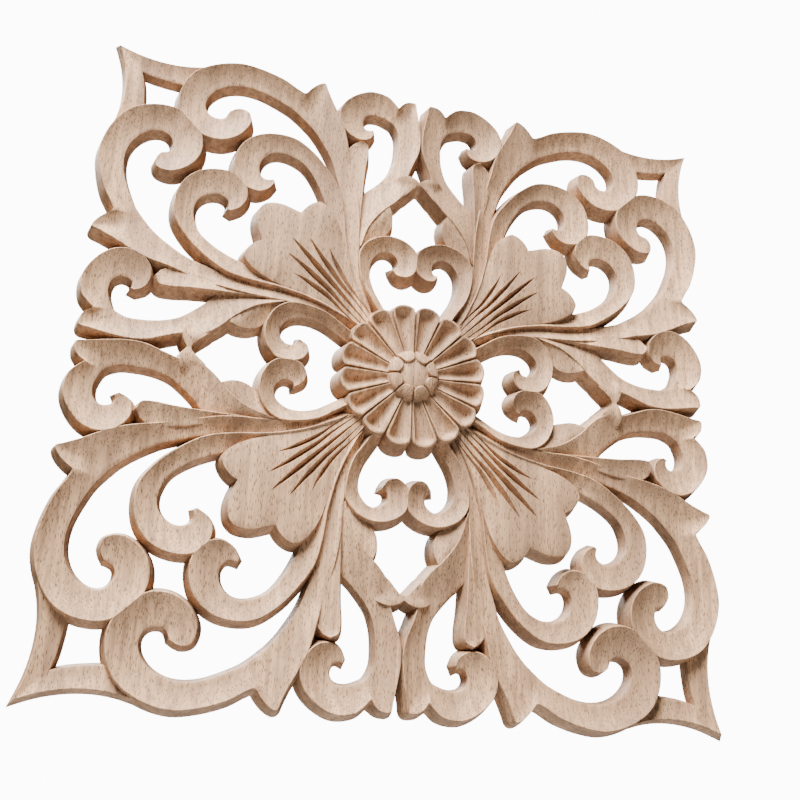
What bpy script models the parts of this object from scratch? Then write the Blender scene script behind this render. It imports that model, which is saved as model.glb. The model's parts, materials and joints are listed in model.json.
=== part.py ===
"""Carved wooden applique: a pierced square panel of leaf scrolls round a sixteen-petal flower, in one piece.

The panel repeats eight times about its centre, so one eighth is modelled and mirrored. It is drawn lying on
its back, with plan places as shares of half the side. At the end it is stood upright: front to -Y, back at Y = 0.
"""

import bmesh
import bpy
import numpy as np
from mathutils import Matrix, Vector
from mathutils.geometry import delaunay_2d_cdt

MM = 0.001

# Driving dimensions
SIDE = 300.0 * MM
SCROLL_RIM = 9.6 * MM
INNER_SCROLL_RIM = 8.9 * MM
SCROLL_INNER_EDGE = 6.4 * MM
SCROLL_TIP = 7.4 * MM
SCROLL_TIP_LIP = 0.4 * MM
STEM_FOLD = 6.2 * MM
INNER_STEM_RIM = 9.7 * MM
INNER_STEM_FOLD = 7.8 * MM
OUTER_ROOT_RIM = 6.8 * MM
OUTER_ROOT_EDGE = 8.6 * MM
PALMETTE_TOP = 10.0 * MM
PALMETTE_CROWN = 0.3 * MM
SIDE_LEAF_ROOT = 9.2 * MM
SIDE_LEAF_TIP = 10.4 * MM
SIDE_LEAF_FOLD = 7.6 * MM
SIDE_LEAF_HOLLOW = 8.6 * MM
LEAF_TOP = 9.8 * MM
CORNER_TIP = 6.6 * MM
BRACKET_RIM = 7.0 * MM
BRACKET_INNER_EDGE = 5.3 * MM
FLOWER_RADIUS = 34.6 * MM
FLOWER_RIM = 12.0 * MM
FLOWER_INNER_RIM = 10.2 * MM
FLOWER_HOLLOW = 3.4 * MM
PETAL_BAY = 4.0 * MM
PETAL_FOLD = 1.5 * MM
PETAL_RIM_WIDTH = 0.8 * MM
PETAL_MIDDLE = 0.72
HOLLOW_AT_BUD = 0.3
HOLLOW_DEEPEST = 0.8
HOLLOW_END = 0.15
HOLLOW_ROUND = 2.6
BUD_RADIUS = 12.0 * MM
BUD_FOOT = 9.6 * MM
BUD_TOP = 13.4 * MM
BUD_PETAL_RAISE = 0.5 * MM
BUD_TIP_RADIUS = 5.9 * MM
BUD_CLEFT_RADIUS = 7.6 * MM
BUD_FOLD = 1.6 * MM
BUD_LIP = 0.06
GROOVE_WIDTH = 3.6 * MM
GROOVE_DEPTH = 3.6 * MM
GROOVE_ROOT = 0.48
GROOVE_POINT = 0.12
GROOVE_WIDEST = 0.7
CUTTER_RISE = 0.5 * MM
WALL_SLOPE = 0.245
COVE = 1.7
STEM_COVE = 0.95
ROOT_END = 0.3
TURN_END = 0.16
TIP_START = 0.86
CONTACT_GAP = 0.35 * MM
BELOW = 0.5 * MM
BELOW_STEP = 0.1 * MM
WELD = 0.002 * MM
MITRE_LIMIT = 0.8
FOOT_CLEAR = 0.93
PETALS = 16
BUD_PETALS = 8

# Fineness of the faceted surface
SCROLL_STEP = 17.0 * MM
BEND_STEP = 15.0 * MM
COVE_STEPS = 2
LEAF_STEP = 20.0 * MM
EDGE_STEP = 8.0 * MM
FLAT_ANGLE = np.radians(1.6)
CREST_ANGLE = np.radians(35)

HALF = SIDE / 2
RIM_SHARE = PETAL_RIM_WIDTH * PETALS / (np.pi * PETAL_MIDDLE * FLOWER_RADIUS)
WOOD = (0.62, 0.44, 0.33)

# Stations of each scroll, from its root to its tip: a point of the high rim, then the point of the low inner
# edge that faces it, as shares of half the side
OUTER_SCROLL = (
    (0.125, 0.170, 0.146, 0.166), (0.166, 0.282, 0.190, 0.290), (0.186, 0.370, 0.217, 0.370),
    (0.191, 0.450, 0.234, 0.450), (0.195, 0.530, 0.243, 0.530), (0.206, 0.600, 0.255, 0.594),
    (0.223, 0.670, 0.274, 0.656),
    (0.243, 0.750, 0.296, 0.720), (0.262, 0.830, 0.335, 0.786), (0.288, 0.890, 0.356, 0.814),
    (0.312, 0.935, 0.372, 0.832), (0.328, 0.972, 0.382, 0.841), (0.339, 0.995, 0.388, 0.846),
    (0.362, 0.985, 0.394, 0.852), (0.384, 0.963, 0.404, 0.860), (0.399, 0.941, 0.416, 0.870),
    (0.424, 0.951, 0.442, 0.888), (0.475, 0.979, 0.510, 0.919), (0.550, 1.001, 0.555, 0.932),
    (0.620, 1.007, 0.598, 0.935), (0.700, 0.983, 0.642, 0.926), (0.762, 0.938, 0.680, 0.903),
    (0.793, 0.870, 0.706, 0.870), (0.792, 0.800, 0.713, 0.838), (0.755, 0.740, 0.704, 0.812),
    (0.700, 0.708, 0.684, 0.798), (0.640, 0.709, 0.661, 0.796), (0.592, 0.740, 0.647, 0.803),
    (0.565, 0.792, 0.641, 0.811), (0.575, 0.834, 0.638, 0.817), (0.600, 0.843, 0.636, 0.822),
    (0.618, 0.838, 0.636, 0.826),
)
INNER_SCROLL = (
    (0.135, 0.165, 0.155, 0.165), (0.205, 0.320, 0.228, 0.320), (0.232, 0.430, 0.262, 0.430),
    (0.243, 0.520, 0.290, 0.512), (0.262, 0.600, 0.318, 0.588), (0.300, 0.662, 0.345, 0.640),
    (0.352, 0.722, 0.378, 0.682), (0.415, 0.764, 0.412, 0.702), (0.480, 0.770, 0.446, 0.711),
    (0.540, 0.752, 0.477, 0.708), (0.584, 0.710, 0.503, 0.692), (0.603, 0.650, 0.520, 0.665),
    (0.598, 0.598, 0.523, 0.636), (0.568, 0.562, 0.513, 0.614), (0.526, 0.551, 0.498, 0.606),
    (0.490, 0.569, 0.484, 0.607), (0.471, 0.598, 0.476, 0.609),
)
EDGE_SCROLL = (
    (0.186, 0.410, 0.198, 0.480), (0.160, 0.492, 0.200, 0.565), (0.120, 0.550, 0.186, 0.612),
    (0.075, 0.595, 0.148, 0.650), (0.045, 0.640, 0.119, 0.683), (0.040, 0.695, 0.096, 0.715),
    (0.024, 0.745, 0.082, 0.752), (0.006, 0.795, 0.075, 0.790), (0.002, 0.850, 0.073, 0.835),
    (0.010, 0.910, 0.074, 0.853), (0.019, 0.955, 0.076, 0.864), (0.025, 0.985, 0.079, 0.872),
    (0.042, 0.987, 0.082, 0.880), (0.059, 0.982, 0.086, 0.888), (0.073, 0.969, 0.091, 0.896),
    (0.082, 0.956, 0.098, 0.904), (0.098, 0.972, 0.112, 0.912), (0.125, 0.993, 0.140, 0.922),
    (0.180, 0.999, 0.162, 0.923), (0.235, 0.973, 0.182, 0.918), (0.273, 0.932, 0.195, 0.906),
    (0.284, 0.885, 0.201, 0.890), (0.268, 0.840, 0.198, 0.873), (0.235, 0.812, 0.191, 0.862),
    (0.200, 0.809, 0.182, 0.858), (0.173, 0.824, 0.173, 0.858), (0.161, 0.848, 0.166, 0.861),
)
HEART_SCROLL = (
    (0.100, 0.170, 0.075, 0.185), (0.140, 0.232, 0.110, 0.240), (0.170, 0.280, 0.134, 0.282),
    (0.186, 0.340, 0.148, 0.330), (0.186, 0.400, 0.144, 0.376), (0.155, 0.442, 0.123, 0.407),
    (0.100, 0.464, 0.098, 0.418), (0.045, 0.456, 0.076, 0.413), (0.005, 0.425, 0.060, 0.398),
    (-0.003, 0.385, 0.056, 0.382), (0.006, 0.347, 0.059, 0.369), (0.034, 0.328, 0.065, 0.362),
    (0.060, 0.334, 0.071, 0.359), (0.073, 0.352, 0.075, 0.358),
)
SIDE_LEAF = (
    (0.191, 0.480, 0.199, 0.484), (0.190, 0.560, 0.216, 0.570), (0.188, 0.640, 0.236, 0.645),
    (0.185, 0.700, 0.246, 0.705), (0.180, 0.752, 0.248, 0.745), (0.184, 0.785, 0.243, 0.768),
    (0.207, 0.798, 0.230, 0.786),
)
CORNER_BRACKET = (
    (0.690, 0.990, 0.700, 0.890), (0.755, 0.972, 0.775, 0.900), (0.815, 0.965, 0.835, 0.905),
    (0.880, 0.968, 0.885, 0.912), (0.945, 0.981, 0.922, 0.922), (1.000, 1.000, 0.950, 0.930),
    (1.060, 1.025, 1.000, 0.950),
)

# Where a scroll's rim dips under a leaf: plan place and reach as shares of half the side, then the drop
SIDE_LEAF_DIP = (0.224, 0.670, 0.110, 2.2 * MM)
MEETING_LEAF_DIP = (0.042, 0.665, 0.070, 1.8 * MM)

# Outlines of the leaves, anticlockwise: plan place as shares of half the side, then share of the top height
PALMETTE = (
    (0.250, 0.180, 0.96), (0.400, 0.300, 1.00), (0.530, 0.450, 1.00), (0.520, 0.478, 1.00),
    (0.507, 0.497, 0.99), (0.492, 0.510, 0.99), (0.470, 0.516, 0.99), (0.445, 0.516, 0.99),
    (0.420, 0.510, 0.99), (0.400, 0.503, 0.99), (0.380, 0.497, 0.99), (0.371, 0.514, 0.99),
    (0.358, 0.529, 0.99), (0.341, 0.541, 0.99), (0.324, 0.546, 0.99), (0.308, 0.540, 0.99),
    (0.290, 0.525, 0.99), (0.272, 0.500, 0.99), (0.256, 0.468, 0.94), (0.243, 0.430, 0.88),
    (0.224, 0.385, 0.87), (0.205, 0.325, 0.87), (0.180, 0.250, 0.88), (0.130, 0.150, 0.90),
    (0.140, 0.110, 0.90),
)
MEETING_LEAF = (
    (-0.040, 0.668, 0.92), (0.006, 0.668, 0.92), (0.026, 0.650, 0.94), (0.052, 0.622, 0.92),
    (0.075, 0.612, 0.78), (0.092, 0.650, 0.63), (0.082, 0.682, 0.73), (0.066, 0.692, 0.90),
    (0.048, 0.697, 0.98), (0.030, 0.696, 1.00), (0.014, 0.690, 0.99), (0.000, 0.680, 0.95),
    (-0.040, 0.700, 0.92),
)
BRACT = (
    (0.185, 0.420, 0.84), (0.190, 0.450, 0.86), (0.160, 0.505, 0.88), (0.130, 0.543, 0.89),
    (0.097, 0.570, 0.96), (0.087, 0.545, 0.90), (0.085, 0.515, 0.80), (0.095, 0.485, 0.71),
    (0.125, 0.455, 0.69),
)
GROOVES = (
    ((0.122, 0.160), (0.185, 0.235), (0.224, 0.280), (0.252, 0.324), (0.272, 0.360), (0.288, 0.399)),
    ((0.132, 0.150), (0.203, 0.233), (0.248, 0.280), (0.280, 0.320), (0.312, 0.360), (0.349, 0.412)),
    ((0.141, 0.141), (0.200, 0.200), (0.250, 0.250), (0.300, 0.300), (0.350, 0.350), (0.400, 0.400)),
)


def clear_scene():
    for old in list(bpy.data.objects):
        bpy.data.objects.remove(old, do_unlink=True)


def new_collection(name):
    collection = bpy.data.collections.new(name)
    bpy.context.scene.collection.children.link(collection)
    return collection


def smooth_rows(rows, step):
    """Rows of numbers, whose first two or four are plan places, read off a smooth curve at an even step."""
    rows = np.asarray(rows, float)
    places = rows[:, : 2 if rows.shape[1] < 4 else 4] * HALF
    knots = np.concatenate([[0.0], np.cumsum(np.sqrt(np.linalg.norm(np.diff(places, axis=0), axis=1)))])
    spans = np.diff(knots)[:, None]
    chords = np.diff(rows, axis=0) / spans
    middle = (chords[:-1] * spans[1:] + chords[1:] * spans[:-1]) / (spans[1:] + spans[:-1])
    slopes = np.vstack([chords[:1], middle, chords[-1:]])
    fine = []
    for k, span in enumerate(spans[:, 0]):
        t = np.linspace(0, 1, 16, endpoint=False)[:, None]
        fine.append(rows[k] * (1 + 2 * t) * (1 - t) ** 2 + rows[k + 1] * t * t * (3 - 2 * t)
                    + span * (slopes[k] * t * (1 - t) ** 2 - slopes[k + 1] * t * t * (1 - t)))
    fine = np.vstack(fine + [rows[-1:]])
    moves = np.diff(fine[:, : places.shape[1]] * HALF, axis=0).reshape(len(fine) - 1, -1, 2)
    lengths = np.linalg.norm(moves, axis=2).mean(axis=1)
    way = np.unwrap(np.arctan2(moves[:, 0, 1], moves[:, 0, 0]))
    turns = np.abs(np.gradient(way))
    run = np.concatenate([[0.0], np.cumsum(lengths + BEND_STEP * turns)])
    count = max(int(round(run[-1] / step)), 4) + 1
    even = np.linspace(0, run[-1], count)
    return np.stack([np.interp(even, run, column) for column in fine.T], axis=1), even / run[-1]


def pressed(points):
    """Plan points kept just short of the mirror planes, where a scroll is pressed against its mirror image."""
    x = np.maximum(points[:, 0], CONTACT_GAP)
    y = points[:, 1]
    over = np.maximum(CONTACT_GAP * np.sqrt(2) - (y - x), 0) / 2
    return np.stack([x - over, y + over], axis=1)


def ease(t):
    t = np.clip(t, 0, 1)
    return t * t * (3 - 2 * t)


def wall_foot(loop, reach):
    """Where a sloping wall meets the ground: each point of an anticlockwise loop moved out by its own reach."""
    ahead = np.roll(loop, -1, axis=0) - loop
    ahead /= np.linalg.norm(ahead, axis=1)[:, None]
    behind = np.roll(ahead, 1, axis=0)
    outward = np.stack([ahead[:, 1] + behind[:, 1], -ahead[:, 0] - behind[:, 0]], axis=1)
    outward /= np.maximum(1 + (ahead * behind).sum(axis=1), MITRE_LIMIT)[:, None]
    moved = loop + outward * reach[:, None]
    start, end = loop, np.roll(loop, -1, axis=0)
    side = end - start
    share = ((moved[:, None] - start) * side).sum(axis=2) / (side ** 2).sum(axis=1)
    nearest = start + np.clip(share, 0, 1)[..., None] * side
    distance = np.linalg.norm(moved[:, None] - nearest, axis=2).min(axis=1)
    good = np.flatnonzero(distance > reach * FOOT_CLEAR)
    for k in np.flatnonzero(distance <= reach * FOOT_CLEAR):
        before = good[np.searchsorted(good, k) - 1]
        after = good[np.searchsorted(good, k) % len(good)]
        pair = moved[[before, after]]
        moved[k] = pair[np.linalg.norm(pair - moved[k], axis=1).argmin()]
    return moved


def radial_foot(loop, reach):
    """The foot of the flower's walls, which slope straight out from its centre."""
    radius = np.linalg.norm(loop, axis=1)
    return loop * ((radius + reach) / radius)[:, None]


def carved_solid(name, points, faces, loop, depth, collection, outward=wall_foot):
    """A closed solid from its carved top: walls slope out and down from the loop to a flat underside."""
    points = np.asarray(points, float)
    edge = points[loop]
    plan = edge[:, :2]
    turn = np.roll(plan, -1, axis=0)
    if (plan[:, 0] * turn[:, 1] - plan[:, 1] * turn[:, 0]).sum() < 0:
        loop = loop[::-1]
        edge = points[loop]
    foot = outward(edge[:, :2], (edge[:, 2] + depth) * WALL_SLOPE)
    mesh = bmesh.new()
    top = [mesh.verts.new(p) for p in points]
    base = []
    for k, place in enumerate(foot):
        same = k and np.allclose(place, foot[k - 1], atol=1e-9)
        base.append(base[-1] if same else mesh.verts.new((place[0], place[1], -depth)))
    if np.allclose(foot[0], foot[-1], atol=1e-9):
        base[-1] = base[0]
    for face in faces:
        mesh.faces.new([top[k] for k in face])
    for k in range(len(loop)):
        after = (k + 1) % len(loop)
        ring = [top[loop[k]], base[k], base[after], top[loop[after]]]
        mesh.faces.new(list(dict.fromkeys(ring)))
    mesh.faces.new(list(dict.fromkeys(reversed(base))))
    loose = [v for v in mesh.verts if not v.link_faces]
    bmesh.ops.delete(mesh, geom=loose, context="VERTS")
    bmesh.ops.recalc_face_normals(mesh, faces=mesh.faces)
    return add_mesh(name, mesh, collection)


def add_mesh(name, mesh, collection):
    data = bpy.data.meshes.new(name)
    mesh.to_mesh(data)
    mesh.free()
    piece = bpy.data.objects.new(name, data)
    collection.objects.link(piece)
    return piece


def ribbon(name, rows, heights, depth, collection, steps=COVE_STEPS, press=True):
    """A scroll lofted between its rim and its inner edge; heights gives both for each share of the run."""
    rows, share = smooth_rows(rows, SCROLL_STEP)
    rim = rows[:, 0:2] * HALF
    inner = rows[:, 2:4] * HALF
    if press:
        rim = pressed(rim)
    rim_height, inner_height, cove = heights(share, rim)
    across = np.linspace(0, 1, steps + 1)
    points = []
    for k in range(len(rows)):
        for t in across:
            place = rim[k] + (inner[k] - rim[k]) * t
            points.append((*place, inner_height[k] + (rim_height[k] - inner_height[k]) * (1 - t) ** cove[k]))
    wide = len(across)
    faces = []
    for k in range(len(rows) - 1):
        for c in range(wide - 1):
            a = k * wide + c
            faces.append((a, a + 1, a + wide + 1, a + wide))
    last = (len(rows) - 1) * wide
    loop = [k * wide for k in range(len(rows))] + [last + c for c in range(1, wide)]
    loop += [k * wide + wide - 1 for k in reversed(range(len(rows) - 1))]
    loop += list(reversed(range(1, wide - 1)))
    return carved_solid(name, points, faces, loop, depth, collection)


def scroll_heights(rim_top, root_rim, root_edge, root_end, dip=None):
    """Heights of a scroll and its hollow: a rounded stem at the root, then a cove that falls from the rim."""
    def heights(share, rim):
        down = ease((share - TIP_START) / (1 - TIP_START))
        out = ease(share / root_end)
        inner = root_edge + (SCROLL_INNER_EDGE - root_edge) * out
        top = root_rim + (rim_top - root_rim) * out
        top = top + (SCROLL_TIP - top) * down
        if dip:
            away = np.linalg.norm(rim - np.array(dip[:2]) * HALF, axis=1)
            top = top - dip[3] * ease(1 - away / (dip[2] * HALF))
        inner = inner + (SCROLL_TIP - SCROLL_TIP_LIP - inner) * down
        return top, inner, STEM_COVE + (COVE - STEM_COVE) * out
    return heights


def ramp_heights(rim_start, rim_end, inner_start, inner_end):
    """Heights of a short ribbon, whose inner edge stays low at first."""
    def heights(share, rim):
        inner = inner_start + (inner_end - inner_start) * share ** 2
        return rim_start + (rim_end - rim_start) * ease(share), inner, np.full(len(share), COVE)
    return heights


def leaf(name, rows, top, depth, collection, crown=0.0):
    """A leaf from its closed outline with a height at each point; the surface between follows the nearest."""
    edge = np.asarray(rows, float) * (HALF, HALF, top)
    low, high = edge[:, :2].min(axis=0), edge[:, :2].max(axis=0)
    xs = np.arange(low[0] + LEAF_STEP / 2, high[0], LEAF_STEP)
    ys = np.arange(low[1] + LEAF_STEP / 2, high[1], LEAF_STEP)
    inside = []
    for y in ys:
        for x in xs:
            away = np.linalg.norm(edge[:, :2] - (x, y), axis=1)
            if within(edge[:, :2], np.roll(edge[:, :2], -1, axis=0), (x, y)) and away.min() > LEAF_STEP * 0.45:
                weight = away ** -3.0
                lift = crown * ease(away.min() / (3 * LEAF_STEP))
                inside.append((x, y, (weight * edge[:, 2]).sum() / weight.sum() + lift))
    points = [tuple(p) for p in edge] + inside
    ring = list(range(len(edge)))
    plan = [Vector(p[:2]) for p in points]
    joined = delaunay_2d_cdt(plan, [], [ring], 1, 1e-9)
    order = [source[0] for source in joined[3]]
    faces = [[order[k] for k in face] for face in joined[2]]
    return carved_solid(name, points, faces, ring, depth, collection)


def within(starts, ends, place):
    """Whether a plan place lies inside the region that these edges bound."""
    x, y = place
    crosses = (starts[:, 1] > y) != (ends[:, 1] > y)
    rise = np.where(crosses, ends[:, 1] - starts[:, 1], 1.0)
    at = starts[:, 0] + (y - starts[:, 1]) / rise * (ends[:, 0] - starts[:, 0])
    return np.count_nonzero(crosses & (x < at)) % 2 == 1


def groove(name, places, collection):
    """A V cutter along a groove: narrower at the root under the flower, and drawn out to a point at its end."""
    rows, share = smooth_rows(places, EDGE_STEP)
    line = rows * HALF
    ahead = np.gradient(line, axis=0)
    ahead /= np.linalg.norm(ahead, axis=1)[:, None]
    beside = np.stack([-ahead[:, 1], ahead[:, 0]], axis=1)
    top = PALMETTE_TOP + PALMETTE_CROWN + CUTTER_RISE
    mesh = bmesh.new()
    rings = []
    for k, t in enumerate(share):
        full = GROOVE_ROOT + (1 - GROOVE_ROOT) * ease(t / GROOVE_WIDEST)
        swell = GROOVE_POINT + (full - GROOVE_POINT) * min((1 - t) / (1 - GROOVE_WIDEST), 1.0) ** 0.7
        deep = GROOVE_DEPTH * swell
        half = GROOVE_WIDTH / 2 * swell * (deep + CUTTER_RISE) / deep
        left = line[k] + beside[k] * half
        right = line[k] - beside[k] * half
        rings.append([mesh.verts.new((*left, top)), mesh.verts.new((*line[k], top - CUTTER_RISE - deep)),
                      mesh.verts.new((*right, top))])
    for one, two in zip(rings, rings[1:]):
        for c in range(3):
            after = (c + 1) % 3
            mesh.faces.new((one[c], one[after], two[after], two[c]))
    mesh.faces.new(rings[0])
    mesh.faces.new(reversed(rings[-1]))
    bmesh.ops.recalc_face_normals(mesh, faces=mesh.faces)
    return add_mesh(name, mesh, collection)


def petal_angles():
    """Angles across one petal, from fold to fold, as shares of half the petal."""
    return np.array([-1.0, -1.0 + RIM_SHARE, 0.0, 1.0 - RIM_SHARE])


def flower_outline(across):
    """Radius of the flower at a share of half a petal: round petal ends with bays between them."""
    return FLOWER_RADIUS - PETAL_BAY * (1 - np.sqrt(np.clip(1 - across ** 2, 0, 1)))


def flower_height(radius, across, outline):
    """Height of the petals: a spoon inside a raised rim, with a fold between neighbours."""
    rim = 1 - RIM_SHARE
    fold = ease((abs(across) - rim) / RIM_SHARE) * PETAL_FOLD
    run = (radius - BUD_RADIUS) / (outline - BUD_RADIUS)
    crest = FLOWER_INNER_RIM + (FLOWER_RIM - FLOWER_INNER_RIM) * ease(run)
    along = HOLLOW_AT_BUD + (1 - HOLLOW_AT_BUD) * ease(run / HOLLOW_DEEPEST)
    hollow = FLOWER_HOLLOW * along * ease((1 - run) / HOLLOW_END)
    return crest - fold - hollow * (1 - min(abs(across) / rim, 1.0) ** HOLLOW_ROUND)


def bud_height(radius, around):
    """Height of the round bud: a dome wrapped in small cushioned petals whose round tips point inward."""
    dome = BUD_FOOT + (BUD_TOP - BUD_FOOT) * np.sqrt(max(1 - (radius / BUD_RADIUS) ** 2, 0.0))
    across = abs((around * BUD_PETALS / (2 * np.pi)) % 1 * 2 - 1)
    tip = BUD_TIP_RADIUS + (BUD_CLEFT_RADIUS - BUD_TIP_RADIUS) * across ** 3
    raised = ease((radius - tip) / (BUD_LIP * BUD_RADIUS)) * BUD_PETAL_RAISE
    deeper = ease((radius - BUD_TIP_RADIUS) / (BUD_CLEFT_RADIUS - BUD_TIP_RADIUS))
    return dome + raised - BUD_FOLD * deeper * across ** 5


def flower(depth, collection):
    """The flower lofted outward in rings from the middle of the bud to the petal tips."""
    angles = []
    across = []
    for petal in range(PETALS):
        for share in petal_angles():
            angles.append((petal + 0.5 + share / 2) * 2 * np.pi / PETALS)
            across.append(share)
    bud_rings = np.array([0.46, 0.56, 0.80, 1.0]) * BUD_RADIUS
    petal_shares = np.array([0.40, 0.80, 1.0])
    points = [(0.0, 0.0, bud_height(0.0, 0.0))]
    for ring in bud_rings:
        for angle in angles:
            points.append((ring * np.cos(angle), ring * np.sin(angle), bud_height(ring, angle)))
    for share in petal_shares:
        for angle, side in zip(angles, across):
            outline = flower_outline(side)
            radius = BUD_RADIUS + (outline - BUD_RADIUS) * share
            height = flower_height(radius, side, outline)
            points.append((radius * np.cos(angle), radius * np.sin(angle), height))
    count = len(angles)
    faces = [(0, 1 + k, 1 + (k + 1) % count) for k in range(count)]
    for ring in range(len(bud_rings) + len(petal_shares) - 1):
        for k in range(count):
            a = 1 + ring * count + k
            b = 1 + ring * count + (k + 1) % count
            faces.append((a, a + count, b + count, b))
    loop = [len(points) - count + k for k in range(count)]
    return carved_solid("flower", points, faces, loop, depth, collection, radial_foot)


def cut(target, operand, operation):
    """Joins or cuts the target with one solid, or with every solid of a collection."""
    step = target.modifiers.new(operand.name, "BOOLEAN")
    step.operation = operation
    step.solver = "EXACT"
    if isinstance(operand, bpy.types.Collection):
        step.operand_type = "COLLECTION"
        step.collection = operand
    else:
        step.object = operand


def prism(name, corners, low, high, collection):
    """An upright prism over a plan outline."""
    mesh = bmesh.new()
    floor = mesh.faces.new([mesh.verts.new((x, y, low)) for x, y in corners])
    made = bmesh.ops.extrude_face_region(mesh, geom=[floor])["geom"]
    risen = [v for v in made if isinstance(v, bmesh.types.BMVert)]
    bmesh.ops.translate(mesh, vec=(0, 0, high - low), verts=risen)
    bmesh.ops.recalc_face_normals(mesh, faces=mesh.faces)
    return add_mesh(name, mesh, collection)


def applied(target):
    """The target's mesh with its modifiers worked in, which are then removed."""
    graph = bpy.context.evaluated_depsgraph_get()
    made = bpy.data.meshes.new_from_object(target.evaluated_get(graph))
    target.modifiers.clear()
    target.data = made
    mesh = bmesh.new()
    mesh.from_mesh(made)
    return mesh


def repeat_about_centre(target):
    """Opens the eighth at its mirror planes; mirrors it across the diagonal, then across both middle lines."""
    mesh = applied(target)
    planes = (lambda p: p.x, lambda p: p.y - p.x, lambda p: p.z)
    bmesh.ops.remove_doubles(mesh, verts=mesh.verts, dist=WELD)
    bmesh.ops.dissolve_degenerate(mesh, dist=WELD, edges=mesh.edges)
    free = [v for v in mesh.verts if all(abs(plane(v.co)) > WELD for plane in planes)]
    between = [e for e in mesh.edges if e.verts[0] in set(free) or e.verts[1] in set(free)]
    bmesh.ops.dissolve_limit(mesh, angle_limit=FLAT_ANGLE, verts=free, edges=between)
    bmesh.ops.triangulate(mesh, faces=mesh.faces)
    for v in mesh.verts:
        if abs(v.co.x) < WELD:
            v.co.x = 0.0
        if abs(v.co.y - v.co.x) < WELD:
            v.co.x = v.co.y = (v.co.x + v.co.y) / 2
    for plane in planes:
        shut = [f for f in mesh.faces if all(abs(plane(v.co)) < WELD for v in f.verts)]
        bmesh.ops.delete(mesh, geom=shut, context="FACES")
    across = Matrix.Rotation(np.pi / 4, 4, "Z")
    for plane, axis in ((across, "Y"), (Matrix(), "X"), (Matrix(), "Y")):
        whole = mesh.verts[:] + mesh.edges[:] + mesh.faces[:]
        bmesh.ops.mirror(mesh, geom=whole, matrix=plane, merge_dist=-1, axis=axis)
        bmesh.ops.remove_doubles(mesh, verts=mesh.verts, dist=WELD)
    close_underside(mesh)
    bmesh.ops.recalc_face_normals(mesh, faces=mesh.faces)
    mesh.to_mesh(target.data)
    mesh.free()


def close_underside(mesh):
    """Fills the flat underside, a region with many holes, between the feet of the walls."""
    edges = [e for e in mesh.edges if e.is_boundary]
    corners = list({v for e in edges for v in e.verts})
    place = {v: k for k, v in enumerate(corners)}
    plan = [v.co.xy for v in corners]
    joined = delaunay_2d_cdt(plan, [[place[v] for v in e.verts] for e in edges], [], 0, 1e-9)
    starts = np.array([e.verts[0].co.xy for e in edges])
    ends = np.array([e.verts[1].co.xy for e in edges])
    for face in joined[2]:
        triangle = [corners[joined[3][k][0]] for k in face]
        if within(starts, ends, np.mean([v.co.xy for v in triangle], axis=0)):
            mesh.faces.new(triangle)


def wood(name):
    material = bpy.data.materials.new(name)
    material.use_nodes = True
    shader = material.node_tree.nodes["Principled BSDF"]
    shader.inputs["Base Color"].default_value = (*WOOD, 1.0)
    shader.inputs["Roughness"].default_value = 0.7
    shader.inputs["Metallic"].default_value = 0.0
    return material


def build():
    clear_scene()
    parts = new_collection("wood_applique")
    cutters = new_collection("applique_cutters")
    carving = bpy.data.collections.new("applique_carving")
    cutters.children.link(carving)
    fluting = bpy.data.collections.new("applique_grooves")
    cutters.children.link(fluting)

    scroll = scroll_heights(SCROLL_RIM, SCROLL_RIM, STEM_FOLD, ROOT_END)
    edged = scroll_heights(SCROLL_RIM, SCROLL_RIM, STEM_FOLD, ROOT_END, MEETING_LEAF_DIP)
    turned = scroll_heights(SCROLL_RIM, OUTER_ROOT_RIM, OUTER_ROOT_EDGE, TURN_END, SIDE_LEAF_DIP)
    ridged = scroll_heights(INNER_SCROLL_RIM, INNER_STEM_RIM, INNER_STEM_FOLD, ROOT_END)
    rising = ramp_heights(SIDE_LEAF_ROOT, SIDE_LEAF_TIP, SIDE_LEAF_FOLD, SIDE_LEAF_HOLLOW)
    corner = ramp_heights(BRACKET_RIM, CORNER_TIP, BRACKET_INNER_EDGE, BRACKET_INNER_EDGE)
    panel = ribbon("carved_panel", OUTER_SCROLL, turned, BELOW, parts)
    pieces = (
        lambda d: ribbon("inner_scroll", INNER_SCROLL, ridged, d, carving),
        lambda d: ribbon("edge_scroll", EDGE_SCROLL, edged, d, carving),
        lambda d: ribbon("heart_scroll", HEART_SCROLL, scroll, d, carving, 1),
        lambda d: ribbon("side_leaf", SIDE_LEAF, rising, d, carving, 1),
        lambda d: ribbon("corner_bracket", CORNER_BRACKET, corner, d, carving, 1, press=False),
        lambda d: leaf("palmette", PALMETTE, PALMETTE_TOP, d, carving, PALMETTE_CROWN),
        lambda d: leaf("meeting_leaf", MEETING_LEAF, LEAF_TOP, d, carving),
        lambda d: leaf("bract", BRACT, LEAF_TOP, d, carving),
    )
    for number, piece in enumerate(pieces, start=1):
        piece(BELOW + number * BELOW_STEP)
    rosette = flower(BELOW + (len(pieces) + 1) * BELOW_STEP, cutters)
    for number, places in enumerate(GROOVES, start=1):
        groove(f"groove_{number}", places, fluting)

    cut(panel, carving, "UNION")
    cut(panel, fluting, "DIFFERENCE")
    cut(panel, rosette, "UNION")
    eighth = prism("eighth", ((0, 0), (SIDE, SIDE), (0, SIDE)), 0, SIDE, cutters)
    cut(panel, eighth, "INTERSECT")
    repeat_about_centre(panel)
    panel.data.transform(Matrix.Rotation(np.pi / 2, 4, "X"))
    panel.data.shade_smooth()
    panel.data.set_sharp_from_angle(angle=CREST_ANGLE)
    for group in (carving, fluting, cutters):
        for piece in group.objects:
            piece.hide_render = True
            piece.display_type = "WIRE"
    panel.data.materials.append(wood("pale wood"))


build()
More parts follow.
